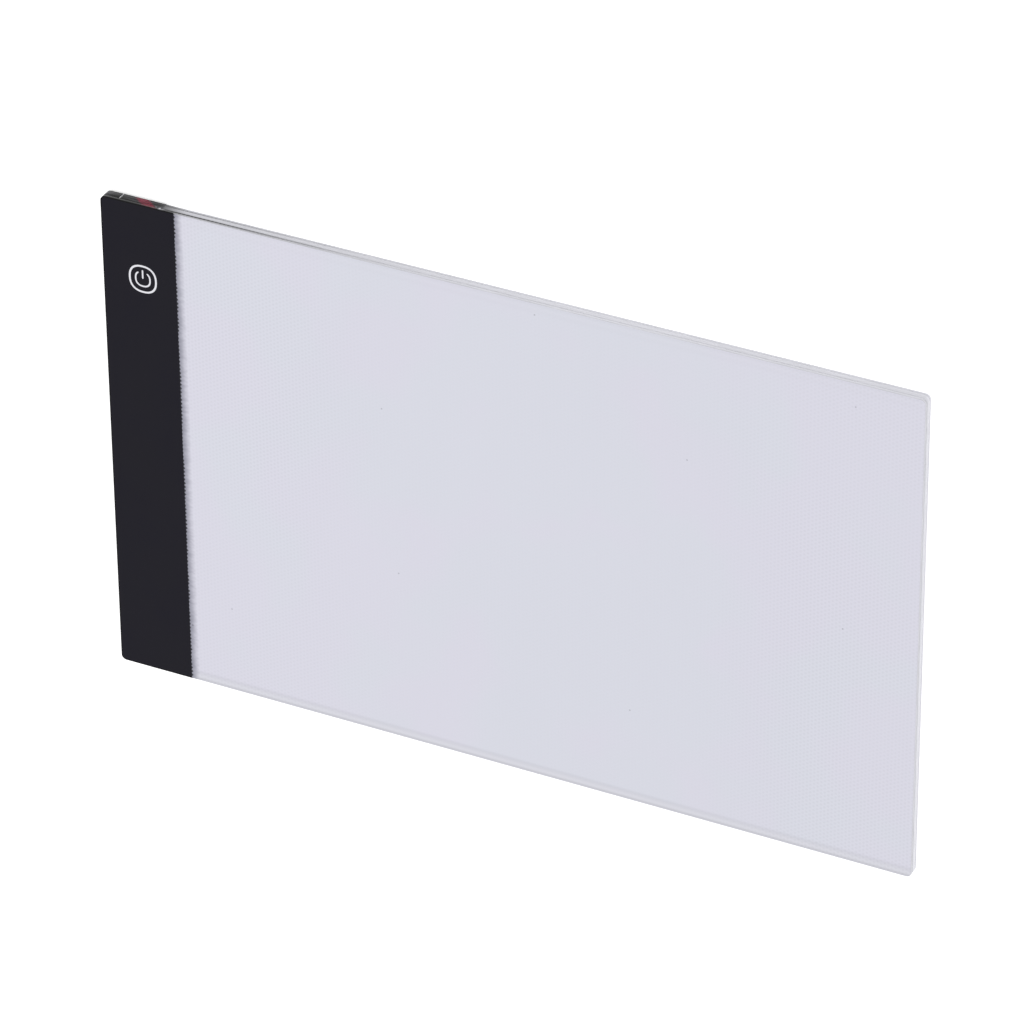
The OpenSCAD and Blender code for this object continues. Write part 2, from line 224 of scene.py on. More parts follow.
def block(low, high, ease, axis="z", radii=None, steps=2):
    """Box with every edge eased, worked along one axis. The radii, where they are given, round its
    four corners by more."""
    order = {"z": (0, 1, 2), "x": (1, 2, 0), "y": (2, 0, 1)}[axis]
    low, high = [[corner[k] for k in order] for corner in (low, high)]
    outline = rectangle(low, high, ease if radii is None else radii, steps if radii is None else 6)
    return lofted(outline, eased(low[2], high[2], ease, steps), axis)


def joined(skins):
    """Several skins as one."""
    points, faces, start = [], [], 0
    for skin_points, skin_faces in skins:
        points.append(skin_points)
        faces += [[start + k for k in face] for face in skin_faces]
        start += len(skin_points)
    return np.concatenate(points), faces


def piece(name, skin, slot, look, *nodes):
    """Put a skin into the scene as one piece that rides on the pad and stands for the nodes."""
    points, faces = skin
    mesh = bpy.data.meshes.new(name)
    mesh.from_pydata(points.tolist(), [], faces)
    mesh.polygons.foreach_set("use_smooth", np.array([len(face) == 4 for face in faces]))
    mesh.materials.append(look)
    mesh.update()
    made = bpy.data.objects.new(name, mesh)
    bpy.context.scene.collection.objects.link(made)
    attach(made, "root")
    if nodes:
        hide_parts(*nodes)
    return made


# ---- materials ----


class Look:
    """A procedural material in the making. Its patterns read Object coordinates, in metres."""

    def __init__(self, name, colour, **sockets):
        self.material = bpy.data.materials.new(name)
        self.material.use_nodes = True
        self.tree = self.material.node_tree
        self.shader = self.tree.nodes["Principled BSDF"]
        self.feed(self.shader.inputs["Base Color"], colour)
        for socket, value in sockets.items():
            self.feed(self.shader.inputs[socket.replace("_", " ")], value)
        self.place = self.node("TexCoord", output="Object")
        self.x, self.y, self.z = self.node("SeparateXYZ", self.place).node.outputs

    def feed(self, socket, value):
        """Link an output into a socket, or set the socket's own value. Colours are opaque."""
        if isinstance(value, bpy.types.NodeSocket):
            self.tree.links.new(value, socket)
        elif value is not None:
            socket.default_value = (*value, 1) if socket.type == "RGBA" else value

    def node(self, kind, *inputs, output=0, **named):
        """New node: small-letter names are its settings, names with a capital are its inputs."""
        made = self.tree.nodes.new("ShaderNode" + kind)
        for key, value in named.items():
            if key.islower():
                setattr(made, key, value)
        for key, value in named.items():
            if not key.islower():
                self.feed(made.inputs[key], value)
        for socket, value in zip(made.inputs, inputs):
            self.feed(socket, value)
        return made.outputs[output]

    def math(self, operation, *values):
        """One step of arithmetic on numbers and outputs."""
        return self.node("Math", *values, operation=operation)

    def plus(self, first, second):
        return self.math("ADD", first, second)

    def minus(self, first, second):
        return self.math("SUBTRACT", first, second)

    def times(self, first, second):
        return self.math("MULTIPLY", first, second)

    def changed(self, value, pattern, amount):
        """Value with an amount of a pattern added to it."""
        return self.math("MULTIPLY_ADD", pattern, amount, value)

    def length(self, across, along):
        """Length of a level step."""
        return self.math("SQRT", self.plus(self.times(across, across), self.times(along, along)))

    def noise(self, size, detail=3.0):
        """Cloudy noise about 0.5 whose features measure size."""
        return self.node("TexNoise", Vector=self.place, Scale=1 / size, Detail=detail)

    def streaks(self, sizes, detail=3.0):
        """Noise about 0.5 whose features measure a size of their own along each axis."""
        place = self.node("Mapping", Vector=self.place, Scale=[1 / size for size in sizes])
        return self.node("TexNoise", Vector=place, Scale=1.0, Detail=detail)

    def cells(self, size):
        """Distance from the nearest of many scattered points, in cells of a size."""
        return self.node("TexVoronoi", Vector=self.place, Scale=1 / size)

    def specks(self, spacing, radius):
        """1 in a sparse scatter of round specks on the level faces, and 0 elsewhere."""
        distance = self.node("TexVoronoi", Vector=self.place, Scale=1 / spacing,
                             voronoi_dimensions="2D")
        return self.span(distance, radius / spacing, 0.4 * radius / spacing)

    def span(self, value, start, end, low=0.0, high=1.0):
        """Smooth step from low at start to high at end."""
        return self.node("MapRange", value, start, end, low, high,
                         interpolation_type="SMOOTHSTEP")

    def varied(self, pattern, low, high):
        """Low to high over the middle stretch, 0.3 to 0.7, which holds most of a noise."""
        return self.span(pattern, 0.3, 0.7, low, high)

    def line(self, value, middle, half):
        """1 along a line where value is middle, falling to 0 at half a width away."""
        return self.span(self.math("ABSOLUTE", self.minus(value, middle)), half, 0.0)

    def mix(self, factor, first, second):
        """Blend of two colours, by the Mix node's colour sockets: inputs 6 and 7, and output 2."""
        made = self.node("Mix", data_type="RGBA", output=2)
        for index, value in ((0, factor), (6, first), (7, second)):
            self.feed(made.node.inputs[index], value)
        return made

    def scaled(self, colour, amount):
        """Colour times a number."""
        return self.node("VectorMath", colour, None, None, amount, operation="SCALE")

    def finish(self, colour, gloss, low, high, height, depth):
        """The material, with its colour, roughness from low to high by the pattern gloss, and a
        bump of the pattern height, depth in metres."""
        inputs = self.shader.inputs
        self.feed(inputs["Base Color"], colour)
        self.feed(inputs["Roughness"], self.varied(gloss, low, high))
        self.feed(inputs["Normal"], self.node("Bump", Height=height, Distance=depth, Strength=1.0))
        return self.material


FACE = (0.690, 0.683, 0.772)
FACE_COOL = (0.681, 0.691, 0.768)
FACE_RIM = (0.652, 0.652, 0.715)
FACE_SHADED = (0.26, 0.26, 0.32)
BLACK = (0.0062, 0.0054, 0.0113)
BLACK_TOOTH = (0.008, 0.008, 0.012)
EDGE_CLEAR = (0.985, 0.985, 1.06)
EDGE_RED = (0.17, 0.018, 0.038)
EDGE_PALE_MARKS = (0.5, 0.5, 0.54)
COVER = (0.012, 0.012, 0.014)
SKIN_DEPTH = 0.2 * MM
LATTICE_X = 2.1 * MM
LATTICE_Y = 1.22 * MM


def hex_dots(look, radius):
    """1 in a dot, 0 between: the distance to the nearest point of two grids, one grid shifted by
    half a cell both ways, so that each dot has six neighbours."""
    distances = []
    for shift in (0.0, 0.5):
        offsets = []
        for axis, cell in ((look.x, LATTICE_X), (look.y, LATTICE_Y)):
            turns = look.plus(look.math("DIVIDE", axis, cell), shift)
            offsets.append(look.times(look.minus(look.math("FRACT", turns), 0.5), cell))
        distances.append(look.length(*offsets))
    return look.span(look.math("MINIMUM", *distances), radius, 0.3 * radius)


def edge_distance(look):
    """How far a point lies in from the pad's outline, round corners and all: the corner radius
    less the distance outside the rectangle of the corners' centres, or plus the distance inside."""
    across = look.minus(look.math("ABSOLUTE", look.x), HALF_WIDTH - CORNER)
    down = look.minus(look.math("ABSOLUTE", look.y), HALF_DEPTH - CORNER)
    outside = look.length(look.math("MAXIMUM", across, 0), look.math("MAXIMUM", down, 0))
    inside = look.math("MINIMUM", look.math("MAXIMUM", across, down), 0)
    return look.minus(CORNER, look.plus(outside, inside))


def from_end(look):
    """How far a point lies from the band's end of the pad."""
    return look.minus(look.x, X_END)


def edge_tone(look):
    """Colour of the sheets' cut edges. They are smoky and streaked over the band's bay and clear
    to pale past it; two dark lines, where the sheets are stuck together, carry a painted
    reflection of the black band, darkest near it and fading out along the pad. The far end,
    which the light reaches straight through the guide, is painted palest, with a painted shade
    along its lower eased edge."""
    place = from_end(look)
    bay_fades, bay_ends = 17 * MM, 24 * MM
    clear_starts, clear_full, clear_palest = 16 * MM, 27 * MM, 150 * MM
    far_starts, far_full = HALF_WIDTH - 1.2 * MM, HALF_WIDTH - 0.3 * MM
    bead_half = 0.62 * MM
    smoke = look.span(look.streaks((12 * MM, 12 * MM, 0.6 * MM), 2), 0.35, 0.65, 0.004, 0.045)
    bay = look.plus(smoke, look.span(place, 4 * MM, 0, 0, 0.05))
    clear = look.plus(look.span(place, clear_starts, clear_full, 0, 0.50),
                      look.span(place, clear_full, clear_palest, 0, 0.08))
    tone = look.plus(look.times(bay, look.span(place, bay_ends, bay_fades)), clear)
    tone = look.times(tone, look.varied(look.streaks((7 * MM, 7 * MM, 0.2 * MM)), 0.93, 1.05))
    tone = look.times(tone, look.span(look.x, far_starts, far_full, 1, 1.12))
    beads = look.span(look.math("PINGPONG", look.x, bead_half), 0, 0.5 * MM, 0.82, 1)
    past_bay = look.span(place, clear_starts, 22 * MM)
    # Joint lines: painted reflection of the black band, fading with distance from it, on lumpy
    # beads.
    for height, half, strength, reach in ((GUIDE_HIGH.z + 0.42 * MM, 0.62 * MM, 1.15, 96 * MM),
                                          (GUIDE_LOW.z + 0.08 * MM, 0.5 * MM, 0.6, 84 * MM)):
        band_reflection = look.times(look.span(place, 20 * MM, reach, strength, 0), beads)
        line = look.times(look.times(look.line(look.z, height, half), band_reflection), past_bay)
        tone = look.times(tone, look.minus(1, line))
    # Painted shade along the lower eased edge of the far end, next to the floor.
    line = look.times(look.line(look.z, PANEL_LOW.z + 0.35 * MM, 0.45 * MM),
                      look.span(look.x, far_starts, far_full, 0, 0.25))
    tone = look.times(tone, look.minus(1, line))
    return look.scaled(EDGE_CLEAR, look.math("MAXIMUM", tone, 0.003))


def wire_glow(look):
    """1 where the red wire shows through the clear edge beside the bay, on a slant."""
    slant, start, end, blur = 1.2, 11.7 * MM, 17.3 * MM, 1.4 * MM
    middle = (PANEL_LOW.z + PANEL_HIGH.z) / 2
    place = look.minus(from_end(look), look.times(look.minus(look.z, middle), slant))
    glow = look.times(look.span(place, start, start + blur), look.span(place, end, end - blur))
    return look.times(glow, look.span(look.y, 0, 10 * MM))


def bay_edge_tone(look):
    """Edge tone with the red wire showing through it and pale marks near its top by the strip."""
    streaks = look.streaks((5 * MM, 5 * MM, 0.5 * MM), 2)
    wire = look.scaled(EDGE_RED, look.span(streaks, 0.35, 0.65, 0.45, 1.3))
    tone = look.mix(wire_glow(look), edge_tone(look), wire)
    # Pale marks near the top of the edge, beside the strip's end.
    pale_marks = look.times(look.line(from_end(look), 17.8 * MM, 2.4 * MM),
                       look.span(look.noise(1.1 * MM, 2), 0.50, 0.58))
    upper = look.span(look.z, PANEL_HIGH.z - 1.4 * MM, PANEL_HIGH.z - 0.9 * MM)
    return look.mix(look.times(pale_marks, upper), tone, EDGE_PALE_MARKS)


def face_colour(look, past_band):
    """Milky white of the open face: patches of the dot lattice, strongest towards both ends, a few
    specks, one of them by the band, and lines and a darker rim beside the long edges. These are
    partly where the films stop and partly a painted reflection of the films' edges seen through
    the clear sheet, strong beside the lower edge and faint beside the upper."""
    from_middle = look.math("ABSOLUTE", look.minus(look.x, (X_BAND + HALF_WIDTH) / 2))
    from_side = look.minus(HALF_DEPTH, look.math("ABSOLUTE", look.y))
    reflection_side = look.span(look.y, 10 * MM, -10 * MM, 0.15, 1)
    clouds = look.noise(60 * MM, 2)
    patches = look.times(look.span(clouds, 0.3, 0.6, 0.5, 1),
                         look.span(from_middle, 40 * MM, 85 * MM, 0.2, 1))
    dots = look.times(hex_dots(look, 0.52 * MM), patches)
    brightness = look.changed(look.span(clouds, 0.2, 0.8, 1.004, 0.996), dots, -0.055)
    brightness = look.changed(brightness, patches, 0.017)
    # Lines beside the long edges: where the films stop, with a painted reflection of their edges,
    # strong beside the lower edge.
    for middle, half, change in ((0.6 * MM, 0.5 * MM, -0.13), (1.5 * MM, 0.7 * MM, 0.05),
                                 (2.8 * MM, 0.9 * MM, -0.06)):
        line = look.times(look.line(from_side, middle, half), reflection_side)
        brightness = look.changed(brightness, line, change)
    brightness = look.changed(brightness, look.specks(62 * MM, 0.34 * MM), -0.3)
    from_speck = look.length(look.minus(past_band, 0.9 * MM), look.plus(look.y, 57 * MM))
    brightness = look.times(brightness, look.span(from_speck, 0.25 * MM, 0.45 * MM, 0.3, 1))
    tint = look.changed(look.noise(34 * MM, 2), from_middle, -2.2)
    face = look.mix(look.span(tint, 0.28, 0.46), FACE, FACE_COOL)
    # Darker rim: partly real, partly painted reflection, strong beside the lower edge.
    rim = look.times(look.span(from_side, 3.4 * MM, 1.6 * MM), reflection_side)
    return look.scaled(look.mix(rim, face, FACE_RIM), brightness)


def satin_face():
    """Satin front sheet: its milky face with a soft loss of light beside the band painted in as
    shade, teeth of painted shade on the first row of lattice dots along the band, and cut edges
    in the sheets' edge tone."""
    look = Look("satin_face", FACE, Specular_IOR_Level=0.35)
    past_band = look.minus(look.x, X_BAND)
    face = face_colour(look, past_band)
    fuzz = look.streaks((2.2 * MM, 1.0 * MM, 10 * MM))
    reach = look.plus(past_band, look.varied(fuzz, -0.25 * MM, 0.25 * MM))
    face = look.mix(look.span(reach, 3.0 * MM, -0.2 * MM), face, FACE_SHADED)
    # Teeth of painted shade at the lattice's row pitch: the first row of dots beside the band.
    uneven = look.span(look.noise(5 * MM, 2), 0.35, 0.65, 0.35, 0.95)
    tooth_reach = look.times(look.math("PINGPONG", look.y, 0.61 * MM), uneven)
    tooth = look.span(look.minus(past_band, tooth_reach), 0.05 * MM, -0.02 * MM)
    face = look.mix(look.times(tooth, 0.95), face, BLACK_TOOTH)
    edge = look.span(edge_distance(look), SKIN_DEPTH, 0.14 * MM)
    face = look.mix(edge, face, edge_tone(look))
    shadow = look.span(look.z, PANEL_HIGH.z - 0.2 * MM, PANEL_HIGH.z - 0.7 * MM, 0.3, 1)
    smoke = look.scaled(bay_edge_tone(look), shadow)
    colour = look.mix(look.span(past_band, 0.01 * MM, -0.01 * MM), face, smoke)
    return look.finish(colour, look.noise(9 * MM, 2), 0.36, 0.46, look.noise(0.12 * MM), 0.002 * MM)


def band_black():
    """Matt black film with a fine sprayed grain, a few pale dust specks and slight finger wear."""
    look = Look("band_black", BLACK, Specular_IOR_Level=0.15)
    grain = look.noise(0.16 * MM, 4)
    wear = look.noise(14 * MM)
    shade = look.times(look.varied(grain, 0.8, 1.2), look.varied(wear, 0.92, 1.08))
    rim_shade = look.span(edge_distance(look), SKIN_DEPTH, 0.5 * MM, 0.2, 1)
    shade = look.times(shade, rim_shade)
    dusty = look.times(look.specks(6 * MM, 0.12 * MM), 0.02)
    colour = look.mix(dusty, look.scaled(BLACK, shade), (0.5, 0.5, 0.55))
    return look.finish(colour, wear, 0.52, 0.62, grain, 0.006 * MM)


def band_cut_edge():
    """Cut edge of the black film: darker than its face, with fine knife lines."""
    look = Look("band_cut_edge", (0.0015, 0.0015, 0.002), Specular_IOR_Level=0.05)
    knife = look.streaks((0.3 * MM, 0.3 * MM, 0.02 * MM), 2)
    colour = look.mix(knife, (0.001, 0.001, 0.0013), (0.0035, 0.0033, 0.0045))
    return look.finish(colour, knife, 0.6, 0.75, knife, 0.004 * MM)


def printed_white():
    """Screen-printed ink: nearly even white with fine pinholes from the mesh."""
    look = Look("printed_white", (0.8, 0.8, 0.84), Specular_IOR_Level=0.3)
    mesh = look.noise(0.15 * MM)
    colour = look.scaled((0.82, 0.82, 0.87), look.span(mesh, 0.25, 0.6, 0.93, 1))
    return look.finish(colour, mesh, 0.45, 0.6, mesh, 0.004 * MM)


def film_white(name, white, dotted):
    """Matt white film with paper-like fibre; the diffuser is pressed with the lattice of dots."""
    look = Look(name, white, Specular_IOR_Level=0.3)
    fibre = look.streaks((0.5 * MM, 0.2 * MM, 0.2 * MM), 4)
    pattern = hex_dots(look, 0.4 * MM) if dotted else look.noise(4 * MM, 2)
    colour = look.scaled(white, look.span(look.plus(fibre, pattern), 0.3, 1.5, 0.94, 1))
    return look.finish(colour, fibre, 0.6, 0.75, pattern if dotted else fibre, 0.004 * MM)


def back_white():
    """Satin white back sheet: fine orange peel, faint rub marks, and a cut edge like the rest."""
    look = Look("back_white", (0.78, 0.78, 0.8), Specular_IOR_Level=0.4)
    rubs = look.streaks((4 * MM, 26 * MM, 3 * MM))
    white = look.scaled((0.74, 0.74, 0.76), look.span(rubs, 0.3, 0.75, 1.005, 0.985))
    edge = look.span(edge_distance(look), SKIN_DEPTH, 0.12 * MM)
    colour = look.mix(edge, white, edge_tone(look))
    return look.finish(colour, rubs, 0.34, 0.5, look.noise(0.5 * MM), 0.004 * MM)


def cover_black():
    """Black cover film: matt, with a leather-like emboss and pale rub marks."""
    look = Look("cover_black", COVER, Specular_IOR_Level=0.3)
    rubs = look.streaks((8 * MM, 1.5 * MM, 2 * MM), 4)
    colour = look.mix(look.span(rubs, 0.5, 0.75), COVER, (0.022, 0.022, 0.025))
    return look.finish(colour, rubs, 0.5, 0.68, look.cells(0.6 * MM), 0.01 * MM)


def edge_tape():
    """Adhesive line between two sheets, in the sheets' edge tone, lumpy along its length."""
    look = Look("edge_tape", (0.5, 0.5, 0.52), Specular_IOR_Level=0.4)
    blotches = look.streaks((3 * MM, 3 * MM, 0.3 * MM))
    colour = look.scaled(edge_tone(look), look.varied(blotches, 0.9, 1.05))
    return look.finish(colour, blotches, 0.25, 0.45, blotches, 0.01 * MM)


def guide_acrylic():
    """Polished acrylic light guide, pale from the white films on both faces, with saw streaks
    along its edges and the lattice of light-drawing dots on its faces."""
    look = Look("guide_acrylic", (0.6, 0.6, 0.66), Specular_IOR_Level=0.4)
    inward = edge_distance(look)
    streaks = look.streaks((9 * MM, 9 * MM, 0.16 * MM))
    dots = look.times(hex_dots(look, 0.35 * MM), look.span(inward, 1.5 * MM, 2.5 * MM))
    tint = look.mix(look.times(dots, 0.5), (0.62, 0.62, 0.685), (0.85, 0.85, 0.87))
    colour = look.mix(look.span(inward, SKIN_DEPTH, 0.12 * MM), tint, edge_tone(look))
    return look.finish(colour, streaks, 0.12, 0.3, streaks, 0.004 * MM)


def clear_acrylic():
    """Clear acrylic bar beside the dark bay: part glass, part smoke in the edge tone."""
    look = Look("clear_acrylic", (0.3, 0.3, 0.32), Transmission_Weight=0.1, IOR=1.49,
                Specular_IOR_Level=0.08)
    streaks = look.streaks((12 * MM, 12 * MM, 0.3 * MM), 2)
    return look.finish(bay_edge_tone(look), streaks, 0.12, 0.24, streaks, 0.001 * MM)


def cured_glue():
    """Cured glue: cloudy, with tiny bubbles."""
    look = Look("cured_glue", (0.7, 0.7, 0.73), Transmission_Weight=0.45, IOR=1.47)
    bubbles = look.cells(0.25 * MM)
    colour = look.mix(look.span(bubbles, 0.1, 0.5), (0.9, 0.9, 0.92), (0.62, 0.62, 0.65))
    return look.finish(colour, bubbles, 0.2, 0.4, bubbles, 0.01 * MM)


def solder_mask(name, mask, weave_depth):
    """Circuit board: glass weave faintly visible under the mask."""
    look = Look(name, mask, Coat_Weight=0.3, Coat_Roughness=0.2)
    thread = 0.2 * MM
    warp = look.math("PINGPONG", look.x, thread)
    weft = look.math("PINGPONG", look.y, thread)
    weave = look.span(look.plus(warp, weft), 0, 2 * thread)
    patches = look.noise(1.4 * MM)
    shade = look.times(look.span(weave, 0, 1, 0.9, 1.08), look.varied(patches, 0.93, 1.05))
    return look.finish(look.scaled(mask, shade), patches, 0.28, 0.42, weave, weave_depth)


def moulded(name, colour, low, high, grain=0.12 * MM):
    """Moulded or cast body: fine pitting, and patches of different gloss."""
    look = Look(name, colour, Specular_IOR_Level=0.4)
    pits = look.noise(grain, 4)
    patches = look.noise(9 * grain, 2)
    shade = look.times(look.varied(pits, 0.88, 1.1), look.varied(patches, 0.94, 1.06))
    return look.finish(look.scaled(colour, shade), patches, low, high, pits, 0.006 * MM)


def metal(name, bright, tarnish, low, high):
    """Plated or bright metal: drawn streaks, tarnish in patches, finely uneven."""
    look = Look(name, bright, Metallic=1.0)
    drawn = look.streaks((1.5 * MM, 0.06 * MM, 0.06 * MM))
    patches = look.noise(0.8 * MM)
    colour = look.scaled(look.mix(look.span(patches, 0.45, 0.75), bright, tarnish),
                         look.varied(drawn, 0.9, 1.06))
    gloss = look.times(look.plus(drawn, patches), 0.5)
    return look.finish(colour, gloss, low, high, drawn, 0.003 * MM)


def insulation(name, outer, deep):
    """Extruded wire insulation: slight waves along its length and a soft sheen."""
    look = Look(name, outer, Coat_Weight=0.25, Coat_Roughness=0.25)
    waves = look.noise(0.9 * MM)
    colour = look.mix(look.span(waves, 0.35, 0.7), outer, deep)
    return look.finish(colour, waves, 0.3, 0.45, waves, 0.02 * MM)


def foam_grey():
    """Open foam: round cells whose bottoms are darkened, as painted shade in the pits."""
    look = Look("foam_grey", (0.1, 0.1, 0.11), Specular_IOR_Level=0.2)
    cells = look.cells(0.22 * MM)
    # Painted shade: darker towards each cell's middle, where its pit is deepest.
    colour = look.mix(look.span(cells, 0.1, 0.5), (0.035, 0.035, 0.038), (0.13, 0.13, 0.14))
    return look.finish(colour, cells, 0.8, 0.95, cells, 0.05 * MM)


def silicone_clear():
    """Cloudy clear silicone: fine matt skin, lint and dust on it."""
    look = Look("silicone_clear", (0.7, 0.72, 0.74), Transmission_Weight=0.55, IOR=1.41)
    skin = look.noise(0.25 * MM)
    lint = look.streaks((2 * MM, 0.1 * MM, 0.3 * MM))
    colour = look.mix(look.span(lint, 0.62, 0.75), (0.78, 0.8, 0.82), (0.45, 0.45, 0.45))
    return look.finish(colour, skin, 0.3, 0.5, skin, 0.01 * MM)


def phosphor_gel():
    """Cured yellow gel with grains of phosphor."""
    look = Look("phosphor_gel", (0.85, 0.62, 0.08), Coat_Weight=0.6, Coat_Roughness=0.1)
    grains = look.noise(0.05 * MM)
    colour = look.mix(look.varied(grains, 0, 1), (0.72, 0.5, 0.05), (0.92, 0.7, 0.14))
    return look.finish(colour, grains, 0.25, 0.4, grains, 0.004 * MM)


def floor_white():
    """Plain pale floor that glows a little, so that the pad's shadow on it stays faint."""
    look = Look("floor_white", (0.9, 0.9, 0.9), Roughness=0.9, Specular_IOR_Level=0.1,
                Emission_Color=(1, 1, 1), Emission_Strength=FLOOR_GLOW)
    return look.material


SATIN_FACE = satin_face()
BAND_BLACK = band_black()
BAND_CUT_EDGE = band_cut_edge()
PRINTED_WHITE = printed_white()
DIFFUSER_WHITE = film_white("diffuser_white", (0.8, 0.8, 0.84), True)
REFLECTOR_WHITE = film_white("reflector_white", (0.84, 0.84, 0.85), False)
BACK_WHITE = back_white()
COVER_BLACK = cover_black()
EDGE_TAPE = edge_tape()
GUIDE_ACRYLIC = guide_acrylic()
CLEAR_ACRYLIC = clear_acrylic()
CURED_GLUE = cured_glue()
STRIP_MASK = solder_mask("strip_mask", (0.78, 0.78, 0.76), 0.003 * MM)
BOARD_MASK = solder_mask("board_mask", (0.012, 0.095, 0.042), 0.006 * MM)
HOUSING_WHITE = moulded("housing_white", (0.80, 0.78, 0.71), 0.45, 0.6)
PHOSPHOR_GEL = phosphor_gel()
CHIP_BLACK = moulded("chip_black", (0.018, 0.018, 0.019), 0.5, 0.66)
CERAMIC_TAN = moulded("ceramic_tan", (0.42, 0.27, 0.14), 0.3, 0.45, 0.06 * MM)
SOCKET_BLACK = moulded("socket_black", (0.015, 0.015, 0.016), 0.4, 0.55)
RED_INSULATION = insulation("red_insulation", (0.56, 0.012, 0.014), (0.4, 0.006, 0.008))
BLACK_INSULATION = insulation("black_insulation", (0.012, 0.012, 0.013), (0.02, 0.02, 0.022))
SOLDER = metal("solder_bright", (0.62, 0.62, 0.63), (0.48, 0.48, 0.49), 0.18, 0.34)
TIN_PLATE = metal("tin_plate", (0.66, 0.66, 0.66), (0.5, 0.5, 0.5), 0.3, 0.45)
SOCKET_STEEL = metal("socket_steel", (0.64, 0.64, 0.65), (0.52, 0.51, 0.5), 0.2, 0.36)
CONTACT_GOLD = metal("contact_gold", (0.85, 0.62, 0.27), (0.72, 0.5, 0.2), 0.2, 0.35)
COPPER_FOIL = metal("copper_foil", (0.78, 0.40, 0.24), (0.52, 0.24, 0.13), 0.25, 0.45)
FOAM_GREY = foam_grey()
SILICONE_CLEAR = silicone_clear()


# ---- sheets and films ----


def face_sheet():
    """Front sheet with eased edges, let down by the film's thickness over the band's bay. The
    outline has two extra points on each long side, at the foot and head of that small step, and
    the top is three faces: the part let down, the step and the rest."""
    step = 0.02 * MM
    low, high = PANEL_LOW, PANEL_HIGH
    foot, head = X_BAND - step, X_BAND
    corners = [(low.x, low.y), (foot, low.y), (head, low.y), (high.x, low.y),
               (high.x, high.y), (head, high.y), (foot, high.y), (low.x, high.y)]
    outline = rounded(corners, [CORNER, SHEET_EASE, SHEET_EASE, CORNER] * 2, 8)
    profile = eased(low.z, high.z, SHEET_EASE, 4)
    points, faces = lofted(outline, profile)
    rows, count = len(profile), len(outline[0])
    grid = points.reshape(rows, count, 3)
    let_down = BAND_HIGH.z - BAND_LOW.z
    grid[rows // 2:, :, 2] -= np.where(grid[rows // 2:, :, 0] < head - step / 2, let_down, 0)
    top = faces.pop()
    arc = count // 4 - 1
    foot_near, head_near = top[arc], top[arc + 1]
    head_far, foot_far = top[count - arc - 2], top[count - arc - 1]
    faces.append([*range(foot_far, top[-1] + 1), *range(top[0], foot_near + 1)])
    faces.append([foot_near, head_near, head_far, foot_far])
    faces.append([*range(head_near, head_far + 1)])
    return points, faces


def plate(node, ease, axis="z", steps=3):
    """A node's box as a plate with eased edges, and with the pad's own round corner wherever it
    reaches one."""
    low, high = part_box(node)
    at_end = [HALF_WIDTH - abs(x) < BAR_EASE for x in (low.x, high.x)]
    at_side = [HALF_DEPTH - abs(y) < BAR_EASE for y in (low.y, high.y)]
    radii = [CORNER if at_end[i] and at_side[k] else ease
             for i, k in ((0, 0), (1, 0), (1, 1), (0, 1))]
    return block(low, high, ease, axis, radii if axis == "z" else ease, steps)


def band_skin():
    """Black film over the band: its cut edges get a look of their own."""
    made = piece("band_skin", plate("front_band_film", FILM_EASE), "black_film", BAND_BLACK,
                 "front_band_film")
    made.data.materials.append(BAND_CUT_EDGE)
    edges = np.ones(len(made.data.polygons), int)
    edges[-2:] = 0
    made.data.polygons.foreach_set("material_index", edges)


def sheets():
    """The stack of sheets and films, and the adhesive rims between them, shown as they are."""
    piece("face_sheet", face_sheet(), "satin_front", SATIN_FACE, "front_sheet")
    band_skin()
    for node, name, slot, look, ease in (
            ("diffuser_film", "diffuser_sheet", "white_film", DIFFUSER_WHITE, FILM_EASE),
            ("reflector_film", "reflector_sheet", "white_film", REFLECTOR_WHITE, FILM_EASE),
            ("light_guide_plate", "guide_plate", "clear_acrylic", GUIDE_ACRYLIC, BAR_EASE),
            ("back_sheet", "rear_sheet", "white_sheet", BACK_WHITE, 0.12 * MM),
            ("bay_cover", "cover_plate", "black_film", COVER_BLACK, FILM_EASE)):
        piece(name, plate(node, ease), slot, look, node)
    for node in ("front_edge_tape", "rear_edge_tape"):
        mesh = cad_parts[node].data
        mesh.materials.clear()
        mesh.materials.append(EDGE_TAPE)


def power_sign():
    """Printed strokes, domed across: a rounded-square ring |x|^n + |y|^n = r^n, the same shape
    smaller with an opening at its top, and a short bar through the opening."""
    middle = (PRINT_LOW + PRINT_HIGH) / 2
    ring_stroke, arc_stroke, squareness = 0.6 * MM, 0.5 * MM, 2.4
    ring_r = (PRINT_HIGH.x - PRINT_LOW.x - ring_stroke) / 2
    arc_r = 0.55 * ring_r
    bar_foot, bar_head, bar_points = 0.1 * MM, 2.85 * MM, 20
    opening = math.radians(32)
    tall = PRINT_HIGH.z - PRINT_LOW.z

    def rounded_square(radius, angle):
        """Points of the ring's curve about the sign's middle, at angles round from +X."""
        cos, sin = np.cos(angle), np.sin(angle)
        reach = radius / (np.abs(cos) ** squareness + np.abs(sin) ** squareness) ** (1 / squareness)
        return np.stack([middle.x + reach * cos, middle.y + reach * sin,
                         np.full(len(angle), PRINT_LOW.z)], 1)

    ring = rounded_square(ring_r, np.arange(96) * FULL_TURN / 96)
    arc = rounded_square(arc_r, np.linspace(math.pi / 2 + opening,
                                            math.pi / 2 - opening + FULL_TURN, 72))
    bar = np.linspace((middle.x, middle.y + bar_foot, PRINT_LOW.z),
                      (middle.x, middle.y + bar_head, PRINT_LOW.z), bar_points)
    strokes = [swept(ring, ring_stroke / 2, tall, 10, closed=True, flat_foot=True),
               swept(arc, arc_stroke / 2, tall, 10, flat_foot=True, taper=5),
               swept(bar, arc_stroke / 2, tall, 10, flat_foot=True, taper=3)]
    piece("power_sign", joined(strokes), "white_print", PRINTED_WHITE, "power_symbol_print")


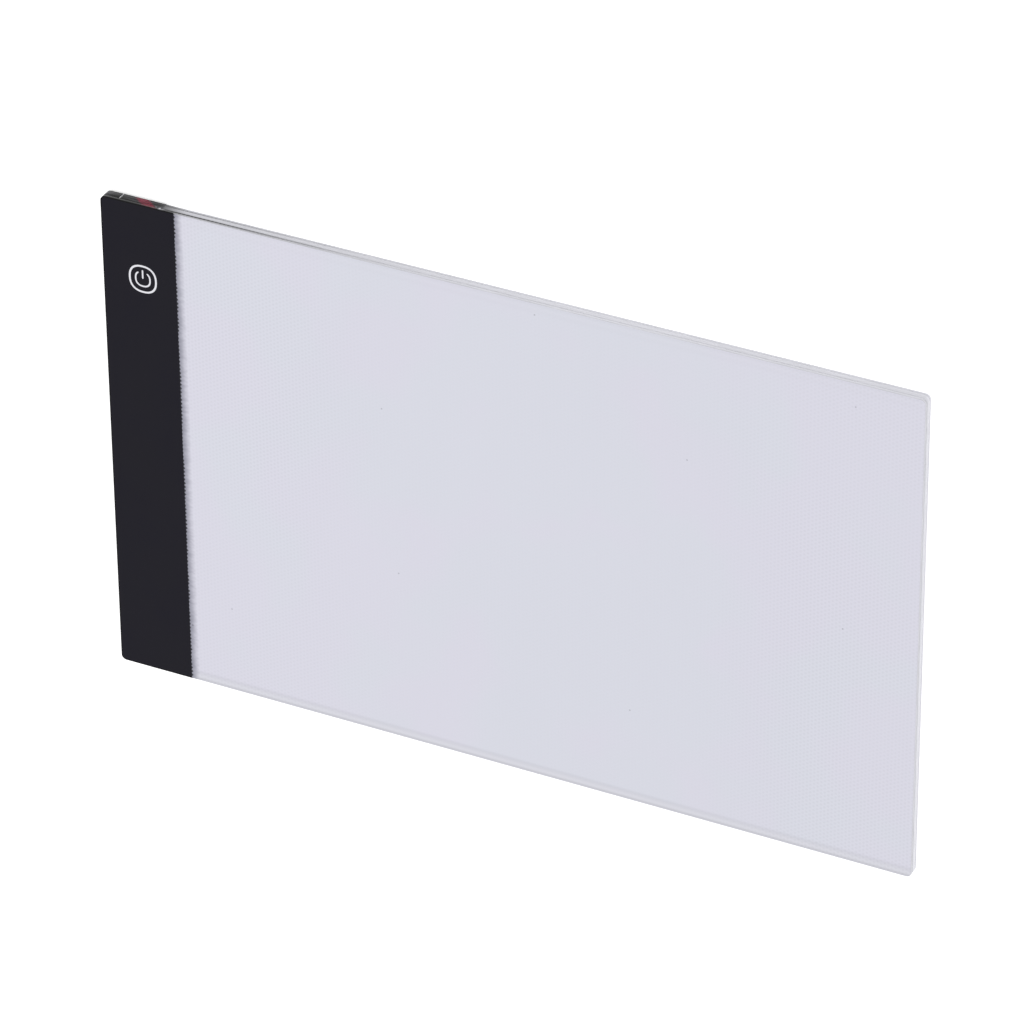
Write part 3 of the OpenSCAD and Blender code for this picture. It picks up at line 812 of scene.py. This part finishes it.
def bars():
    """Clear bars round the bay, and the glue between them."""
    for node, steps in (("end_bar_long", 2), ("end_bar_short", 2),
                        ("side_bar_upper", 3), ("side_bar_lower", 3)):
        piece(node.replace("bar", "block"), plate(node, BAR_EASE, steps=steps), "clear_acrylic",
              CLEAR_ACRYLIC, node)
    for node in ("glue_joint_upper", "glue_joint_lower"):
        piece(node.replace("joint", "seam"), plate(node, FILM_EASE), "glue", CURED_GLUE, node)


# ---- light strip ----


def solids_of(node):
    """The boxes of a node's separate solids, found as groups of touching corners."""
    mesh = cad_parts[node].data
    points = np.empty(len(mesh.vertices) * 3)
    mesh.vertices.foreach_get("co", points)
    points = points.reshape(-1, 3)
    places, group = np.unique(np.round(points / (0.01 * MM)).astype(int), axis=0,
                              return_inverse=True)
    group = group.reshape(-1)
    label = np.arange(len(places))
    corners = group[np.array([list(face.vertices) for face in mesh.polygons])]
    while True:
        least = label[corners].min(1)
        update = label.copy()
        for k in range(corners.shape[1]):
            np.minimum.at(update, corners[:, k], least)
        if (update == label).all():
            break
        label = update
    return [(points[label[group] == k].min(0), points[label[group] == k].max(0))
            for k in np.unique(label)]


def light_strip():
    """Strip board with its diodes, each a housing with a gel-filled cup, and the solder at their
    ends."""
    piece("strip_board", plate("led_strip_board", 0.05 * MM, "x"), "strip_mask", STRIP_MASK,
          "led_strip_board")
    wall, cup, lean, fill = 0.22 * MM, 0.25 * MM, 0.03 * MM, 0.05 * MM
    foot_reach, foot_inset, foot_height, foot_slope = 0.38 * MM, 0.12 * MM, 0.42 * MM, 0.15 * MM
    gels, solder = [], []
    nodes = [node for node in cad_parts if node.startswith("led_") and node[4:].isdigit()]
    for node in sorted(nodes):
        low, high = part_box(node)
        outline = rectangle((low.y, low.z), (high.y, high.z), 0.3 * MM, 4)
        cup_wall = [[wall, high.x], [wall + lean, high.x - 0.5 * cup],
                    [wall + 2 * lean, high.x - cup]]
        housing = np.concatenate([eased(low.x, high.x, 0.05 * MM), cup_wall])
        piece(node.replace("led_", "diode_housing_"), lofted(outline, housing, "x"), "led_housing",
              HOUSING_WHITE, node)
        level = high.x - fill
        gel = [[wall + 0.07 * MM, high.x - 0.9 * cup], [wall + 0.02 * MM, level],
               [wall + 0.1 * MM, level - 0.03 * MM], [wall + 0.25 * MM, level - 0.045 * MM]]
        gels.append(lofted(outline, gel, "x"))
        for y, side in ((low.y, -1), (high.y, 1)):
            near, far = sorted((y, y + side * foot_reach))
            foot = rectangle((near, low.z + foot_inset), (far, high.z - foot_inset), foot_slope, 3)
            solder.append(lofted(foot, mound(low.x, foot_height, foot_slope), "x"))
    piece("phosphor_fills", joined(gels), "phosphor", PHOSPHOR_GEL, "led_phosphor")
    piece("strip_solder", joined(solder), "solder", SOLDER)


def chip_parts(node, slot, look):
    """Chip parts, which lie along Y: their bodies, and two plated caps that wrap each one."""
    bodies, caps = [], []
    cap_share, proud = 0.2, 0.02 * MM
    for low, high in solids_of(node):
        bodies.append(block(low + proud, high - proud, 0.04 * MM))
        reach = (high[1] - low[1]) * cap_share
        for near, far in ((low[1], low[1] + reach), (high[1] - reach, high[1])):
            caps.append(block((low[0], near, low[2]), (high[0], far, high[2]), 0.06 * MM))
    name = node.removesuffix("s")
    piece(name + "_bodies", joined(bodies), slot, look, node)
    piece(name + "_ends", joined(caps), "tin_plate", TIN_PLATE)


# ---- controller board ----


def board():
    """Board, its soft pad, chips with drawn-in tops, bent legs, and the plated lands under the
    small parts' ends."""
    piece("control_board", block(BOARD_LOW, BOARD_HIGH, 0.04 * MM, "z", [0.5 * MM] * 4),
          "board_mask", BOARD_MASK, "controller_board")
    piece("board_cushion", plate("board_pad", 0.1 * MM), "grey_foam", FOAM_GREY, "board_pad")
    lands, spare, thick, land_share = [], 0.12 * MM, 0.02 * MM, 0.25
    for node in ("board_resistors", "board_capacitors"):
        for low, high in solids_of(node):
            reach = land_share * (high[1] - low[1])
            for y, side in ((low[1], 1), (high[1], -1)):
                near, far = sorted((y - side * spare, y + side * reach))
                lands.append(block((low[0] - spare / 2, near, BOARD_HIGH.z),
                                   (high[0] + spare / 2, far, BOARD_HIGH.z + thick), thick / 3))
    piece("board_lands", joined(lands), "tin_plate", TIN_PLATE)
    draft, parting, crown = 0.1 * MM, 0.08 * MM, 0.03 * MM
    for node, name in (("touch_chip", "chip_body"), ("led_transistor", "transistor_body")):
        low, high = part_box(node)
        middle = (low.z + high.z) / 2
        profile = [[draft, low.z], [0, middle], [0, middle + parting],
                   [0.9 * draft, high.z - crown], [1.2 * draft, high.z]]
        piece(name, lofted(rectangle(low, high, 0.14 * MM, 2), profile), "chip_black", CHIP_BLACK,
              node)
    for body, node, name in (("touch_chip", "touch_chip_legs", "chip_legs"),
                             ("led_transistor", "transistor_legs", "transistor_feet")):
        legs = [bent_leg(low, high, level_middle(body)[0]) for low, high in solids_of(node)]
        piece(name, joined(legs), "tin_plate", TIN_PLATE, node)


def bent_leg(low, high, body_x):
    """Gull-wing leg, away from the body's middle: out at knee height, down, and out along the
    board. The shape's rows are shares of its length and of its height."""
    start, end = (low[0], high[0]) if low[0] + high[0] > 2 * body_x else (high[0], low[0])
    half = 0.065 * MM
    shape = np.array([(0, 1), (0.14, 1), (0.24, 0.94), (0.3, 0.75), (0.34, 0.3), (0.42, 0.06),
                      (0.55, 0), (1, 0)])
    path = np.stack([start + (end - start) * shape[:, 0],
                     np.full(len(shape), (low[1] + high[1]) / 2),
                     low[2] + half + (high[2] - low[2] - 2 * half) * shape[:, 1]], 1)
    corner = math.sqrt(2)
    return swept(path, corner * (high[1] - low[1]) / 2, corner * half, 4, phase=math.pi / 4)


# ---- wires ----


def arc_points(centre, radius, start, end, count=10):
    """Points along an arc of a level circle, angles in degrees."""
    angle = np.radians(np.linspace(start, end, count))
    return np.stack([centre[0] + radius * np.cos(angle), centre[1] + radius * np.sin(angle)], 1)


def wire_path(runs, z_ends, z_middle, board_edge, rise):
    """Runs of points end to end, without doubled points. The wire leaves the board level, sags to
    the bay's floor within rise of the board's edge, and climbs again over its last stretch."""
    flat = np.concatenate([runs[0]] + [run[1:] for run in runs[1:]])
    walked = np.concatenate([[0], np.cumsum(np.linalg.norm(np.diff(flat, axis=0), axis=1))])
    down = np.clip((flat[:, 1] - board_edge) / rise, 0, 1)
    down = np.where(walked > walked[-1] / 2, 1, down)
    up = np.clip((walked[-1] - walked) / rise, 0, 1)
    sag = np.minimum(down, up)
    return np.column_stack([flat, z_ends + (z_middle - z_ends) * sag * sag * (3 - 2 * sag)])


def loop_runs(left, right, foot, top, bend):
    """Runs of a wire up the left, round a bend, along the top and round the next bend."""
    return [np.linspace((left, foot), (left, top - bend), 24),
            arc_points((left + bend, top - bend), bend, 180, 90),
            np.linspace((left + bend, top), (right - bend, top), 3),
            arc_points((right - bend, top - bend), bend, 90, 0)]


def wires():
    """Two insulated wires in nested loops from the board round to the strip."""
    low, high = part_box("red_wire")
    radius = (high.z - low.z) / 2
    z = (low.z + high.z) / 2
    floor_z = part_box("bay_cover")[1].z + radius + 0.02 * MM
    clear_y = BOARD_HIGH.y + 0.3 * MM
    right, top = high.x - radius, high.y - radius
    bend, tail = 3 * MM, 1.5 * MM
    end = top - bend - tail
    runs = loop_runs(low.x + radius, right, low.y, top, bend)
    runs.append(np.linspace((right, top - bend), (right, end), 6))
    red = wire_path(runs, z, floor_z, clear_y, 4.5 * MM)
    low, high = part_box("black_wire")
    top = high.y - radius
    bend, turn, spacing = 2.2 * MM, 1.3 * MM, 3 * MM
    leg, turn_y = right - turn, end - spacing + turn
    runs = loop_runs(low.x + radius, leg, low.y, top, bend)
    runs += [np.linspace((leg, top - bend), (leg, turn_y), 4),
             arc_points((right, turn_y), turn, 180, 270)]
    black = wire_path(runs, z, floor_z + 0.3 * MM, clear_y, 5 * MM)
    piece("red_lead", swept(red, radius, radius, 16), "red_insulation", RED_INSULATION, "red_wire")
    piece("black_lead", swept(black, radius, radius, 16), "black_insulation", BLACK_INSULATION,
          "black_wire")
    beads = [bead(low, high) for low, high in solids_of("wire_solder")]
    piece("lead_solder", joined(beads), "solder", SOLDER, "wire_solder")


def bead(low, high):
    """Solder bead: a low dome on the round foot that it has wetted. It stands on the board, or
    against the back of the strip, whose beads are flattest along X."""
    on_strip = high[0] - low[0] < high[2] - low[2]
    flat = [1, 2] if on_strip else [0, 1]
    depth = 0 if on_strip else 2
    reach = min(high[flat] - low[flat]) / 2
    outline = circle((low[flat] + high[flat]) / 2, reach, 20)
    points, faces = lofted(outline, mound(low[depth], high[depth] - low[depth], reach),
                           "x" if on_strip else "z")
    if on_strip:
        points[:, 0] = low[0] + high[0] - points[:, 0]
        faces = [face[::-1] for face in faces]
    return points, faces


# ---- power socket ----


def socket():
    """Folded steel shell, open at the pad's end, with a tongue and its contacts inside."""
    key_y = (SHELL_LOW.y + SHELL_HIGH.y) / 2
    mouth, bottom, top = SHELL_LOW.x, SHELL_LOW.z, SHELL_HIGH.z
    half_w, length, cut, wall, lip = 3.75 * MM, 5.3 * MM, 0.9 * MM, 0.2 * MM, 0.06 * MM
    foot_bend, head_bend = 0.6 * MM, 0.4 * MM
    rear = mouth + length
    corners = [(key_y - half_w + cut, bottom), (key_y + half_w - cut, bottom),
               (key_y + half_w, bottom + cut), (key_y + half_w, top),
               (key_y - half_w, top), (key_y - half_w, bottom + cut)]
    bends = [foot_bend] * 3 + [head_bend] * 2 + [foot_bend]
    outline = rounded(corners, bends, 5)
    profile = [[lip, mouth], [0, mouth + lip], [0, rear - lip], [lip, rear],
               [wall - lip / 2, rear], [wall, rear - lip], [wall, mouth + 0.5 * MM],
               [wall - 0.04 * MM, mouth + lip], [wall - lip, mouth]]
    skins = [lofted(outline, profile, "x", hollow=True)]
    tab_t, tab_h = 0.25 * MM, 0.8 * MM
    for side in (-1, 1):
        near, far = sorted((key_y + side * half_w, key_y + side * (half_w - tab_t)))
        skins.append(block((rear, near, BOARD_HIGH.z),
                           (SHELL_HIGH.x, far, BOARD_HIGH.z + tab_h), 0.05 * MM))
    piece("socket_shell", joined(skins), "socket_steel", SOCKET_STEEL, "usb_shell")
    back_t, inset, tongue_half, tongue_t = 1.2 * MM, 0.215 * MM, 2.3 * MM, 0.6 * MM
    back = lofted(outline, [[inset, rear - back_t], [inset, rear]], "x")
    tongue_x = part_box("usb_insulator")[0].x
    tongue_z = (bottom + top) / 2 - 0.1 * MM
    tongue = block((tongue_x, key_y - tongue_half, tongue_z),
                   (rear - back_t, key_y + tongue_half, tongue_z + tongue_t), 0.08 * MM)
    piece("socket_insert", joined([back, tongue]), "socket_plastic", SOCKET_BLACK, "usb_insulator")
    contacts = [block(low, high, 0.03 * MM) for low, high in solids_of("usb_contacts")]
    piece("socket_contacts", joined(contacts), "contact_gold", CONTACT_GOLD, "usb_contacts")
    fillets, slope = [], 0.15 * MM
    for low, high in solids_of("usb_solder"):
        foot = rectangle(low, high, slope, 3)
        fillets.append(lofted(foot, mound(low[2], high[2] - low[2], slope)))
    piece("socket_solder", joined(fillets), "solder", SOLDER, "usb_solder")


# ---- touch key and feet ----


def touch_key():
    """Copper electrode under the printed sign, on a plug of foam whose waist is drawn in."""
    low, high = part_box("touch_electrode")
    middle = level_middle("touch_electrode")
    electrode = lofted(circle(middle, high.x - middle[0], 64), eased(low.z, high.z, 0.02 * MM))
    piece("key_electrode", electrode, "copper", COPPER_FOIL, "touch_electrode")
    low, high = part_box("touch_foam")
    waist, chamfer = 0.14 * MM, 0.05 * MM
    share = np.linspace(0, 1, 9)
    inset = waist * np.sin(math.pi * share) ** 2
    inset[[0, -1]] += chamfer
    foam = lofted(circle(middle, high.x - middle[0], 48),
                  np.stack([inset, low.z + (high.z - low.z) * share], 1))
    piece("key_foam", foam, "grey_foam", FOAM_GREY, "touch_foam")


def feet():
    """Silicone feet: flat where they are stuck on, domed edges, and a slightly hollow sole. The
    rows of the sole and of the wall are shares of a foot's radius and height."""
    for node in sorted(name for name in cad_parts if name.startswith("foot_")):
        low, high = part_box(node)
        middle = level_middle(node)
        radius, height = (high.x - low.x) / 2, high.z - low.z
        sole = [[0.62 * radius, low.z + 0.05 * height], [0.56 * radius, low.z + 0.01 * height]]
        angle = np.linspace(0, math.pi / 2, 7)
        wall = np.stack([0.55 * height * (1 - np.sin(angle)),
                         low.z + 0.75 * height * (1 - np.cos(angle))], 1)
        rim = [[0, high.z - 0.08 * MM], [0.05 * MM, high.z - 0.01 * MM], [0.12 * MM, high.z]]
        piece(node.replace("foot", "silicone_foot"),
              lofted(circle(middle, radius, 56), np.concatenate([sole, wall, rim])), "silicone",
              SILICONE_CLEAR, node)


# ---- surroundings ----


def surroundings():
    """White floor, an even white sky and one large soft lamp."""
    corners = np.array([(-1, -1, 0), (1, -1, 0), (1, 1, 0), (-1, 1, 0)]) * FLOOR_HALF
    mesh = bpy.data.meshes.new("floor")
    mesh.from_pydata(corners.tolist(), [], [[0, 1, 2, 3]])
    mesh.materials.append(floor_white())
    floor = bpy.data.objects.new("floor", mesh)
    bpy.context.scene.collection.objects.link(floor)
    world = bpy.data.worlds.new("sky")
    bpy.context.scene.world = world
    world.use_nodes = True
    background = world.node_tree.nodes["Background"]
    background.inputs["Color"].default_value = (1, 1, 1, 1)
    background.inputs["Strength"].default_value = SKY
    light = bpy.data.lights.new("softbox", "AREA")
    light.shape = "DISK"
    light.size = LAMP_SIZE
    light.energy = LAMP_POWER
    lamp = bpy.data.objects.new("softbox", light)
    towards = direction(LAMP_AZIMUTH, LAMP_ELEVATION)
    lamp.matrix_world = (Matrix.Translation(towards * LAMP_DISTANCE)
                         @ towards.to_track_quat("Z", "Y").to_matrix().to_4x4())
    bpy.context.scene.collection.objects.link(lamp)
    bpy.context.scene.view_settings.view_transform = "Standard"


add_camera()
surroundings()
sheets()
power_sign()
bars()
light_strip()
chip_parts("strip_resistors", "chip_black", CHIP_BLACK)
chip_parts("board_resistors", "chip_black", CHIP_BLACK)
chip_parts("board_capacitors", "capacitor", CERAMIC_TAN)
board()
wires()
socket()
touch_key()
feet()
